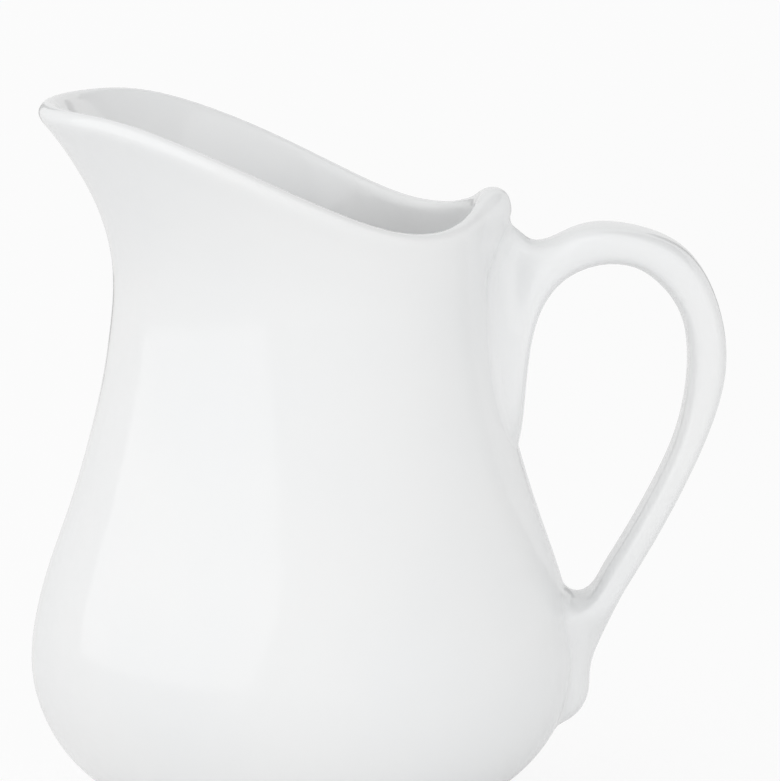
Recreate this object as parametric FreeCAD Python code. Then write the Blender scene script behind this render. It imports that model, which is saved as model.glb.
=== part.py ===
import FreeCAD, Part
import math
import os

# A small porcelain milk jug, cast in one piece with its handle. Millimetres.
# It is modelled round the axis of its body, with the underside of the foot ring at z = 0.
# The spout points to -X and the handle to +X. The XZ plane is the plane of symmetry.

vector = FreeCAD.Vector

# body
wall = 3.0
bellyRadius = 41.0
bellyHeight = 24.0
bellyBottom = 1.4
bellyBulge = bellyHeight - bellyBottom
waistInset = 6.9
waistRadius = bellyRadius - waistInset
waistHeight = 50.0
waistSlope = -0.30
neckInset = 5.8
neckRadius = waistRadius - neckInset

# foot, which stands out a little past the flat under the belly
footHeight = 3.0
footWidth = 4.0
footRound = 0.8
footCove = 1.2
footOverhang = 1.2478
flatTurn = math.asin((bellyHeight - footHeight) / bellyBulge)
flatRadius = bellyRadius - bellyBulge + bellyBulge * math.cos(flatTurn)
footRadius = flatRadius + footOverhang
floorHeight = footHeight + wall

# rim, measured at the middle of the rounded lip
backFlare = 0.5
backRimRadius = neckRadius - wall / 2.0 + backFlare
backRimHeight = 88.95
spoutFlare = 10.8
spoutRadius = neckRadius - wall / 2.0 + spoutFlare
spoutHeight = 106.3
collarHeight = 6.95
neckHeight = backRimHeight - collarHeight
spoutOpening = 50.0
slopeStart = 46.0
slopeEnd = 150.0
flarePower = 1.85

# thumb rest on the rim above the handle
thumbRise = 3.15
thumbAngle = 44.0
knobDepth = 2.4
knobAngle = 21.0
knobHeight = 3.0
knobFade = 4.5

# handle: a strap with rounded corners, which widens and rounds off at its two roots
strapSquareness = 3.2
rootSquareness = 2.1
rootSpread = 0.5
upperCove = 1.6
lowerCove = 2.6
handleSpan = 64.95

# stations of the strap from its upper to its lower end: the outer edge as a distance out
# from the wall and a height over the belly, the inner edge in the same way, half the width
# of the strap, and how much of a root it is; the heights are drawn for a jug whose rim at
# the back is handleSpan over the belly, and stretch with it
upperRoot = [
    (-5.0, 67.0, -5.0, 29.0, 7.6, 0.9),
    (3.3, 64.9, 1.3, 35.0, 7.5, 1.0),
    (5.9, 63.0, 4.6, 45.8, 6.9, 0.5),
    (8.6, 63.1, 7.3, 52.9, 6.6, 0.2),
]
bow = [
    (13.0, 64.9, 12.2, 58.1, 6.6, 0.0),
    (20.4, 65.1, 19.6, 59.5, 6.6, 0.0),
    (28.6, 61.8, 24.5, 57.0, 6.6, 0.0),
    (34.2, 50.5, 28.4, 49.7, 6.5, 0.0),
    (31.7, 38.7, 26.0, 37.6, 6.3, 0.0),
    (22.3, 24.9, 19.2, 26.8, 6.1, 0.0),
    (12.0, 13.4, 9.5, 15.9, 6.2, 0.0),
]
lowerRoot = [
    (9.1, 10.2, 6.1, 12.2, 6.3, 0.0),
    (7.2, 7.7, 3.0, 9.1, 6.7, 0.2),
    (5.6, 5.2, -1.5, 7.8, 7.4, 0.4),
    (4.1, 2.6, -6.5, 7.0, 8.3, 0.6),
    (2.9, 0.0, -8.5, 3.8, 8.8, 0.6),
    (2.5, -3.0, -8.5, -1.5, 8.7, 0.4),
    (2.8, -6.0, -8.0, -6.5, 8.2, 0.2),
    (1.9, -8.8, -8.0, -10.5, 7.0, 0.0),
    (-2.2, -10.8, -9.0, -12.5, 5.2, 0.0),
]
handleStations = upperRoot + bow + lowerRoot

# how finely the smooth surfaces are ruled
angleSteps = 15
wallSteps = 11
lipCrowding = 1.6
lipSteps = 4
undersideSteps = 4
floorSteps = 5
coreSteps = 24
handleSections = 40
handlePoints = 20
slopeStep = 0.05
touch = 0.01


def ease(t):
    """Rises from 0 to 1, level at both ends."""
    t = min(max(t, 0.0), 1.0)
    return t * t * (3.0 - 2.0 * t)


def swell(angle, width):
    """A soft rise of 1 over the handle, which is gone one width away from it."""
    if abs(angle) >= width:
        return 0.0
    return math.cos(math.radians(90.0 * angle / width)) ** 2


def bridge(t, first, firstSlope, last, lastSlope, length):
    """A curve between two values that starts and ends with the given slopes."""
    value = first * (2.0 * t ** 3 - 3.0 * t ** 2 + 1.0)
    value += last * (3.0 * t ** 2 - 2.0 * t ** 3)
    value += firstSlope * length * (t ** 3 - 2.0 * t ** 2 + t)
    value += lastSlope * length * (t ** 3 - t ** 2)
    return value


def wallRadius(height):
    """Outer radius of the round part of the body."""
    if height < bellyHeight:
        rise = min(bellyHeight - height, bellyBulge)
        return bellyRadius - bellyBulge + math.sqrt(bellyBulge ** 2 - rise ** 2)
    if height < waistHeight:
        length = waistHeight - bellyHeight
        t = (height - bellyHeight) / length
        return bridge(t, bellyRadius, 0.0, waistRadius, waistSlope, length)
    if height < neckHeight:
        length = neckHeight - waistHeight
        t = (height - waistHeight) / length
        return bridge(t, waistRadius, waistSlope, neckRadius, 0.0, length)
    return neckRadius


def rimRadius(angle):
    """Radius of the middle of the lip, at an angle away from the handle."""
    opening = ease((angle - spoutOpening) / (180.0 - spoutOpening))
    return backRimRadius + (spoutRadius - backRimRadius) * opening


def rimHeight(angle):
    """Height of the middle of the lip, which climbs to the spout and swells at the handle."""
    climb = ease((angle - slopeStart) / (slopeEnd - slopeStart))
    height = backRimHeight + (spoutHeight - backRimHeight) * climb
    return height + thumbRise * swell(angle, thumbAngle)


def lipEnd(angle):
    """Where the outer wall meets the rounded lip at one angle, and how far it leans out."""
    radius = rimRadius(angle)
    height = rimHeight(angle)
    lean = 0.0
    for turn in range(4):
        endRadius = radius + math.cos(lean) * wall / 2.0
        endHeight = height - math.sin(lean) * wall / 2.0
        growth = flarePower * (endRadius - neckRadius) / (endHeight - neckHeight)
        lean = math.atan(max(growth, 0.0))
    return endRadius, endHeight, lean


def outerRadius(height, endRadius, endHeight):
    """Outer radius at a height, with the flare to the lip above the neck."""
    if height <= neckHeight:
        return wallRadius(height)
    part = (height - neckHeight) / (endHeight - neckHeight)
    return neckRadius + (endRadius - neckRadius) * part ** flarePower


def insidePoint(height, endRadius, endHeight):
    """The point on the inner face square across the wall from a point outside."""
    above = outerRadius(height + slopeStep, endRadius, endHeight)
    below = outerRadius(height - slopeStep, endRadius, endHeight)
    growth = (above - below) / (2.0 * slopeStep)
    size = math.hypot(growth, 1.0)
    radius = outerRadius(height, endRadius, endHeight)
    return radius - wall / size, height + wall * growth / size


def lipPoints(outer, inner):
    """The half round of the lip between the outer and the inner face."""
    middle = ((outer[0] + inner[0]) / 2.0, (outer[1] + inner[1]) / 2.0)
    across = (outer[0] - middle[0], outer[1] - middle[1])
    points = []
    for step in range(1, lipSteps):
        turn = math.pi * step / lipSteps
        radius = middle[0] + across[0] * math.cos(turn) - across[1] * math.sin(turn)
        height = middle[1] + across[1] * math.cos(turn) + across[0] * math.sin(turn)
        points.append((radius, height))
    return points


def undersidePoints(start, round, depth, steps):
    """A quarter round under the belly, from its steep side down to the angle start."""
    points = []
    for step in range(1, steps + 1):
        turn = start * step / steps
        radius = bellyRadius - bellyBulge + round * math.cos(turn)
        points.append((radius, bellyHeight - depth * math.sin(turn)))
    return points


def profile(angle):
    """The wall in one half plane, from the foot up the outside, over the lip and down inside."""
    endRadius, endHeight, lean = lipEnd(angle)
    knob = knobDepth * swell(angle, knobAngle)
    heights = []
    for step in range(wallSteps):
        climb = 1.0 - (1.0 - step / wallSteps) ** lipCrowding
        heights.append(bellyHeight + (endHeight - bellyHeight) * climb)
    outside = []
    for height in heights + [endHeight]:
        rise = ease((height - endHeight + knobHeight + knobFade) / knobFade)
        outside.append((outerRadius(height, endRadius, endHeight) + knob * rise, height))
    inside = [insidePoint(height, endRadius, endHeight) for height in heights]
    inside.append((endRadius - wall * math.cos(lean), endHeight + wall * math.sin(lean)))
    below = undersidePoints(flatTurn, bellyBulge, bellyBulge, undersideSteps)
    inner = undersidePoints(math.pi / 2.0, bellyBulge - wall, bellyHeight - floorHeight, floorSteps)
    lip = lipPoints(outside[-1], inside[-1])
    return below[::-1] + outside + lip + inside[::-1] + inner


def spacing(points):
    """Running length along a row of points."""
    run = [0.0]
    for first, second in zip(points, points[1:]):
        run.append(run[-1] + (second - first).Length)
    return run


def skinSolid(rings, around):
    """A smooth closed solid through rings of points, with flat ends."""
    along = spacing([ring[len(ring) // 4] for ring in rings])
    rows = []
    for ring in rings:
        curve = Part.BSplineCurve()
        curve.interpolate(Points=ring, PeriodicFlag=True, Parameters=around)
        rows.append(curve.getPoles())
    aroundKnots = curve.getKnots()
    aroundMults = curve.getMultiplicities()
    poles = []
    for column in zip(*rows):
        curve = Part.BSplineCurve()
        curve.interpolate(Points=list(column), Parameters=along)
        poles.append(curve.getPoles())
    surface = Part.BSplineSurface()
    surface.buildFromPolesMultsKnots(
        poles,
        aroundMults,
        curve.getMultiplicities(),
        aroundKnots,
        curve.getKnots(),
        True,
        False,
        3,
        3,
    )
    halves = ((around[0], around[len(around) // 2]), (around[len(around) // 2], around[-1]))
    faces = [surface.toShape(first, last, along[0], along[-1]) for first, last in halves]
    for end in (along[0], along[-1]):
        rim = surface.vIso(end)
        faces.append(Part.Face(Part.Wire([rim.toShape(first, last) for first, last in halves])))
    joined = Part.makeCompound(faces)
    joined.sewShape()
    solid = Part.Solid(joined.Shells[0])
    if solid.Volume < 0.0:
        solid.reverse()
    return solid


def makeBody():
    """The round body with its floor, spout, lip and thumb rest, ruled closest by the handle."""
    angles = []
    for count in range(-angleSteps, angleSteps + 1):
        part = count / angleSteps
        angles.append(90.0 * part + 90.0 * part ** 3)
    profiles = [profile(abs(angle)) for angle in angles[:-1]]
    rings = []
    for level in range(len(profiles[0])):
        ring = []
        for angle, points in zip(angles, profiles):
            radius, height = points[level]
            turn = math.radians(angle)
            ring.append(vector(radius * math.cos(turn), radius * math.sin(turn), height))
        rings.append(ring)
    return skinSolid(rings, angles)


def makeFoot():
    """The foot ring with rounded lower edges."""
    top = footHeight + footWidth / 3.0
    inner = footRadius - footWidth
    outline = Part.makePolygon([
        vector(inner, 0, 0),
        vector(footRadius, 0, 0),
        vector(footRadius, 0, top),
        vector(inner, 0, top),
        vector(inner, 0, 0),
    ])
    ring = Part.Face(outline).revolve(vector(0, 0, 0), vector(0, 0, 1), 360)
    low = [edge for edge in ring.Edges if edge.BoundBox.ZMax < 0.001 and edge.Length > wall]
    return ring.makeFillet(footRound, low)


def makeHandle():
    """The strap of the handle, skinned over cross sections from its upper to its lower end."""
    middle = []
    outerPoints = []
    innerPoints = []
    shapes = []
    for outerOut, outerRise, innerOut, innerRise, halfWidth, root in handleStations:
        outer = strapEdge(outerOut, outerRise)
        inner = strapEdge(innerOut, innerRise)
        middle.append((outer + inner) * 0.5)
        outerPoints.append(outer)
        innerPoints.append(inner)
        shapes.append((halfWidth, root))
    along = spacing(middle)
    outerEdge = smoothCurve(outerPoints, along)
    innerEdge = smoothCurve(innerPoints, along)
    shapeCurve = smoothCurve([vector(run, *shape) for run, shape in zip(along, shapes)], along)
    rings = []
    for count in range(handleSections + 1):
        run = along[-1] * count / handleSections
        shape = shapeCurve.value(run)
        ring = []
        for point in range(handlePoints):
            turn = 2.0 * math.pi * point / handlePoints
            ring.append(strapPoint(outerEdge.value(run), innerEdge.value(run), shape, turn))
        rings.append(ring)
    around = [360.0 * point / handlePoints for point in range(handlePoints + 1)]
    return skinSolid(rings, around)


def strapEdge(out, rise):
    """A point of the strap's edge at a distance out from the wall and a height over the belly."""
    height = bellyHeight + rise * (backRimHeight - bellyHeight) / handleSpan
    return vector(wallRadius(height) + out, 0, height)


def smoothCurve(points, along):
    """A smooth curve that passes each point after its own run."""
    curve = Part.BSplineCurve()
    curve.interpolate(Points=points, Parameters=along)
    return curve


def strapPoint(outer, inner, shape, turn):
    """A point on the egg-shaped cross section of the handle."""
    power = 2.0 / (strapSquareness + (rootSquareness - strapSquareness) * shape.z)
    across = math.copysign(abs(math.cos(turn)) ** power, math.cos(turn))
    side = math.copysign(abs(math.sin(turn)) ** power, math.sin(turn))
    middle = (outer + inner) * 0.5
    width = shape.y * side * (1.0 - rootSpread * shape.z * across)
    return middle + (outer - inner) * (0.5 * across) + vector(0, width, 0)


def makeCore():
    """The round space inside the middle of the wall, which trims the handle ends."""
    low = floorHeight
    top = backRimHeight + thumbRise
    points = [vector(0, 0, low)]
    for step in range(coreSteps + 1):
        height = low + (top - low) * step / coreSteps
        points.append(vector(wallRadius(height) - wall / 2.0, 0, height))
    side = Part.BSplineCurve()
    side.interpolate(Points=points[1:])
    outline = Part.Wire([
        Part.makeLine(points[0], points[1]),
        side.toShape(),
        Part.makeLine(points[-1], vector(0, 0, top)),
        Part.makeLine(vector(0, 0, top), points[0]),
    ])
    return Part.Face(outline).revolve(vector(0, 0, 0), vector(0, 0, 1), 360)


def cove(whole, first, second, radius, low, high):
    """A cove of clay along the seams of two joined pieces, between two heights."""
    seams = []
    for edge in whole.Edges:
        middle = edge.valueAt((edge.FirstParameter + edge.LastParameter) / 2.0)
        spot = Part.Vertex(middle)
        gaps = [spot.distToShape(piece.Shells[0])[0] for piece in (first, second)]
        if max(gaps) < touch and low < middle.z < high:
            seams.append(edge)
    return whole.makeFillet(radius, seams).Solids[0]


bowl = makeBody()
foot = makeFoot()
body = cove(bowl.fuse(foot).Solids[0], bowl, foot, footCove, 0.0, bellyHeight)
handle = makeHandle().cut(makeCore()).Solids[0]
jug = body.fuse(handle).Solids[0]
jug = cove(jug, body, handle, lowerCove, 0.0, waistHeight)
jug = cove(jug, body, handle, upperCove, waistHeight, spoutHeight)

# the origin is under the middle of the whole length, belly to handle
reach = jug.optimalBoundingBox(False, False)
jug.translate(vector(-(reach.XMin + reach.XMax) / 2.0, 0, 0))

os.makedirs("parts", exist_ok=True)
jug.exportStep("parts/jug.step")
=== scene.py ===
import math

import bmesh
import bpy
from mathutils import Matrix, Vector


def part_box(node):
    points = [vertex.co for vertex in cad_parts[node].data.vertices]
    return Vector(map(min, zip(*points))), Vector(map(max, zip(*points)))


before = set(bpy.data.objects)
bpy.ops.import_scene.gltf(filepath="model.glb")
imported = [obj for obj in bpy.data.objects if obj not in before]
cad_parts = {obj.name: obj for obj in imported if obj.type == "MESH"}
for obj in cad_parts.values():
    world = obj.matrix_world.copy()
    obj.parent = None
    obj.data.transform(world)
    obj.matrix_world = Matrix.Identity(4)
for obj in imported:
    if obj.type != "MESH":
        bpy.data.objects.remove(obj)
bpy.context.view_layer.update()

# Looks of the porcelain milk jug, in metres: its glaze, a white studio and the camera.

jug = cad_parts["jug"]
lowCorner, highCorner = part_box("jug")
jugLength = highCorner.x - lowCorner.x
jugHeight = highCorner.z - lowCorner.z
print("frame loaded, the jug stands", round(jugHeight * 1000, 1), "mm high")


class Wire:
    # one socket of a shader tree; arithmetic on it adds Math nodes
    def __init__(self, tree, socket=None):
        self.tree = tree
        self.socket = socket

    # any other node: its settings come first, then the values or links of its sockets
    def add(self, kind, settings, inputs, output=0):
        node = self.tree.nodes.new(kind)
        for name, value in settings.items():
            setattr(node, name, value)
        for name, value in inputs.items():
            if isinstance(value, Wire):
                self.tree.links.new(value.socket, node.inputs[name])
            else:
                node.inputs[name].default_value = value
        if not node.outputs:
            return None
        return Wire(self.tree, node.outputs[output])

    def maths(self, operation, first, second):
        return self.add("ShaderNodeMath", {"operation": operation}, {0: first, 1: second})

    def __add__(self, other):
        return self.maths("ADD", self, other)

    def __radd__(self, other):
        return self.maths("ADD", other, self)

    def __sub__(self, other):
        return self.maths("SUBTRACT", self, other)

    def __rsub__(self, other):
        return self.maths("SUBTRACT", other, self)

    def __mul__(self, other):
        return self.maths("MULTIPLY", self, other)

    def __rmul__(self, other):
        return self.maths("MULTIPLY", other, self)

    # the larger of two values, for masks that lie over each other
    def __or__(self, other):
        return self.maths("MAXIMUM", self, other)

    def noise(self, size, detail=1.0):
        sockets = {"Vector": self, "Scale": 1.0 / size, "Detail": detail}
        return self.add("ShaderNodeTexNoise", {}, sockets)

    # rises smoothly from 0 at one value to 1 at another
    def rise(self, start, end):
        sockets = {"Value": self, "From Min": start, "From Max": end}
        return self.add("ShaderNodeMapRange", {"interpolation_type": "SMOOTHSTEP"}, sockets)

    # from the first colour at 0 to the second at 1
    def blend(self, first, second):
        sockets = {0: self, 6: first, 7: second}
        return self.add("ShaderNodeMix", {"data_type": "RGBA"}, sockets, output=2)


def newMaterial(name):
    material = bpy.data.materials.new(name)
    material.use_nodes = True
    material.node_tree.nodes.clear()
    return material, Wire(material.node_tree)


glaze = {
    "white": (0.868, 0.872, 0.872, 1.0),
    "cloudWhite": (0.852, 0.860, 0.864, 1.0),  # where the glaze lies a little thicker
    "lineWhite": (0.80, 0.80, 0.785, 1.0),  # the edge of the glaze above the bare foot
    "biscuit": (0.77, 0.755, 0.72, 1.0),  # bare fired clay under the foot ring
    "cloudSize": 0.035,
    "cloudDetail": 2.0,
    "cloudEdges": (0.35, 0.65),
    "waveSize": 0.014,
    "peelSize": 0.0022,  # finer ripple, as on the skin of a peel
    "peelShare": 0.12,
    "grainSize": 0.0004,
    "grainDetail": 3.0,
    "waveDepth": 0.00010,
    "waveStrength": 0.5,
    "grainDepth": 0.00004,
    "gloss": 0.075,  # roughness of the clear glaze
    "glossSpread": 0.03,
    "biscuitRoughness": 0.65,
    "ior": 1.5,
    "bareHeights": (0.0005, 0.0009),  # the bare clay ends between these heights
    "lineHeights": (0.0009, 0.0016),
}


def porcelainMaterial():
    material, start = newMaterial("porcelain")
    spot = start.add("ShaderNodeTexCoord", {}, {}, "Object")
    height = start.add("ShaderNodeSeparateXYZ", {}, {"Vector": spot}, "Z")
    bare = 1.0 - height.rise(*glaze["bareHeights"])
    line = 1.0 - height.rise(*glaze["lineHeights"])
    cloud = spot.noise(glaze["cloudSize"], glaze["cloudDetail"]).rise(*glaze["cloudEdges"])

    colour = cloud.blend(glaze["white"], glaze["cloudWhite"])
    colour = line.blend(colour, glaze["lineWhite"])
    colour = bare.blend(colour, glaze["biscuit"])

    gloss = glaze["gloss"] + cloud * glaze["glossSpread"]
    roughness = gloss + bare * (glaze["biscuitRoughness"] - glaze["gloss"])

    waves = spot.noise(glaze["waveSize"]) + spot.noise(glaze["peelSize"]) * glaze["peelShare"]
    sockets = {"Strength": glaze["waveStrength"], "Distance": glaze["waveDepth"], "Height": waves}
    skin = start.add("ShaderNodeBump", {}, sockets, "Normal")
    grain = spot.noise(glaze["grainSize"], glaze["grainDetail"]) * bare
    sockets = {"Strength": 1.0, "Distance": glaze["grainDepth"], "Height": grain, "Normal": skin}
    skin = start.add("ShaderNodeBump", {}, sockets, "Normal")

    sockets = {"Base Color": colour, "Roughness": roughness, "Normal": skin, "IOR": glaze["ior"]}
    shader = start.add("ShaderNodeBsdfPrincipled", {}, sockets)
    start.add("ShaderNodeOutputMaterial", {}, {"Surface": shader})
    return material


jug.data.materials.clear()
jug.data.materials.append(porcelainMaterial())
print("porcelain glazed")


shot = {
    "distance": 0.8,
    "elevation": 9.3,
    "lens": 245.8,
    "sensor": 36.0,
    "clipStart": 0.01,
    "aimAside": 0.0181,  # share of the jug's length
    "aimUp": 0.5942,  # share of its height
}


# a unit vector towards an azimuth, 0 at the front and 90 on the handle's side
def direction(azimuth, elevation):
    turn = math.radians(azimuth)
    rise = math.radians(elevation)
    return Vector((math.sin(turn) * math.cos(rise), -math.cos(turn) * math.cos(rise), math.sin(rise)))


# a camera, lamp or card that faces the aim from some way off
def standFacing(data, name, aim, way, distance):
    thing = bpy.data.objects.new(name, data)
    thing.location = aim + way * distance
    thing.rotation_euler = (-way).to_track_quat("-Z", "Y").to_euler()
    bpy.context.scene.collection.objects.link(thing)
    return thing


def makeCamera():
    data = bpy.data.cameras.new("camera")
    data.lens = shot["lens"]
    data.sensor_width = shot["sensor"]
    data.clip_start = shot["clipStart"]
    aim = Vector((shot["aimAside"] * jugLength, 0.0, shot["aimUp"] * jugHeight))
    way = direction(0.0, shot["elevation"])
    bpy.context.scene.camera = standFacing(data, "camera", aim, way, shot["distance"])


makeCamera()
print("camera placed")


studio = {
    # azimuth, elevation, distance, width, height, brightness of its face, and whether the
    # glaze only mirrors it (True) or is only lit by it (False)
    "softboxes": {
        "leftWall": (-62.0, 30.0, 1.3, 2.6, 2.6, 0.38, False),
        "leftSheen": (-64.0, 30.0, 1.3, 2.8, 2.8, 0.6, True),
        "frontSoftbox": (32.0, 4.0, 1.6, 2.6, 0.8, 1.15, False),
    },
    # azimuth, elevation, distance, width, height, grey, whether it also shades the jug
    "greyCards": {
        "leftCard": (-162.0, -2.0, 0.55, 0.07, 0.5, 0.4, False),
        "rightCard": (162.0, -2.0, 0.55, 0.07, 0.5, 0.4, False),
        "rightFlag": (120.0, 52.0, 1.0, 1.1, 0.8, 0.3, True),
    },
    "room": 0.80,  # brightness of the white room round the jug
    "mirroredRoom": 0.35,  # how far reflections see the bright backdrop instead
    "floorRadius": 3.0,
    "floorSides": 64,
    "floorColour": (0.9, 0.9, 0.9, 1.0),
    "floorGlow": 0.87,  # share of the floor that shows as plain white paper
}
middle = Vector((0.0, 0.0, jugHeight / 2.0))


def makeSoftbox(name, azimuth, elevation, distance, width, height, brightness, mirrored):
    data = bpy.data.lights.new(name, "AREA")
    data.shape = "RECTANGLE"
    data.size = width
    data.size_y = height
    data.energy = math.pi * width * height * brightness
    lamp = standFacing(data, name, middle, direction(azimuth, elevation), distance)
    lamp.visible_glossy = mirrored
    lamp.visible_diffuse = not mirrored


for name, values in studio["softboxes"].items():
    makeSoftbox(name, *values)


# how strongly a ray sees the plain white backdrop: the camera fully, reflections partly
def backdropShare(start, mirrored):
    seen = start.add("ShaderNodeLightPath", {}, {}, "Is Camera Ray")
    glossy = start.add("ShaderNodeLightPath", {}, {}, "Is Glossy Ray")
    through = start.add("ShaderNodeLightPath", {}, {}, "Is Transmission Ray")
    return seen | (glossy | through) * mirrored


def makeRoom():
    world = bpy.data.worlds.new("whiteRoom")
    world.use_nodes = True
    world.node_tree.nodes.clear()
    start = Wire(world.node_tree)
    share = backdropShare(start, studio["mirroredRoom"])
    strength = studio["room"] + share * (1.0 - studio["room"])
    sockets = {"Color": (1.0, 1.0, 1.0, 1.0), "Strength": strength}
    background = start.add("ShaderNodeBackground", {}, sockets)
    start.add("ShaderNodeOutputWorld", {}, {"Surface": background})
    bpy.context.scene.world = world


makeRoom()


def makeFloor():
    mesh = bpy.data.meshes.new("floor")
    shape = bmesh.new()
    sides = studio["floorSides"]
    bmesh.ops.create_circle(shape, cap_ends=True, segments=sides, radius=studio["floorRadius"])
    shape.to_mesh(mesh)
    shape.free()
    floor = bpy.data.objects.new("floor", mesh)
    bpy.context.scene.collection.objects.link(floor)
    material, start = newMaterial("whitePaper")
    paper = start.add("ShaderNodeBsdfDiffuse", {}, {"Color": studio["floorColour"]})
    glow = start.add("ShaderNodeEmission", {}, {"Color": (1.0, 1.0, 1.0, 1.0), "Strength": 1.0})
    share = backdropShare(start, studio["mirroredRoom"]) * studio["floorGlow"]
    mixed = start.add("ShaderNodeMixShader", {}, {0: share, 1: paper, 2: glow})
    start.add("ShaderNodeOutputMaterial", {}, {"Surface": mixed})
    mesh.materials.append(material)


makeFloor()


# a grey card out of the picture, which darkens the edges of the glaze where it is mirrored
def makeCard(name, azimuth, elevation, distance, width, height, grey, shades):
    mesh = bpy.data.meshes.new(name)
    shape = bmesh.new()
    bmesh.ops.create_grid(shape, x_segments=1, y_segments=1, size=0.5)
    bmesh.ops.scale(shape, vec=(width, height, 1.0), verts=shape.verts)
    shape.to_mesh(mesh)
    shape.free()
    card = standFacing(mesh, name, middle, direction(azimuth, elevation), distance)
    card.visible_camera = False
    card.visible_diffuse = shades
    card.visible_shadow = shades
    material, start = newMaterial(name)
    glow = start.add("ShaderNodeEmission", {}, {"Color": (1.0, 1.0, 1.0, 1.0), "Strength": grey})
    start.add("ShaderNodeOutputMaterial", {}, {"Surface": glow})
    mesh.materials.append(material)


for name, values in studio["greyCards"].items():
    makeCard(name, *values)
print("studio lit")

bpy.context.scene.view_settings.view_transform = "Standard"
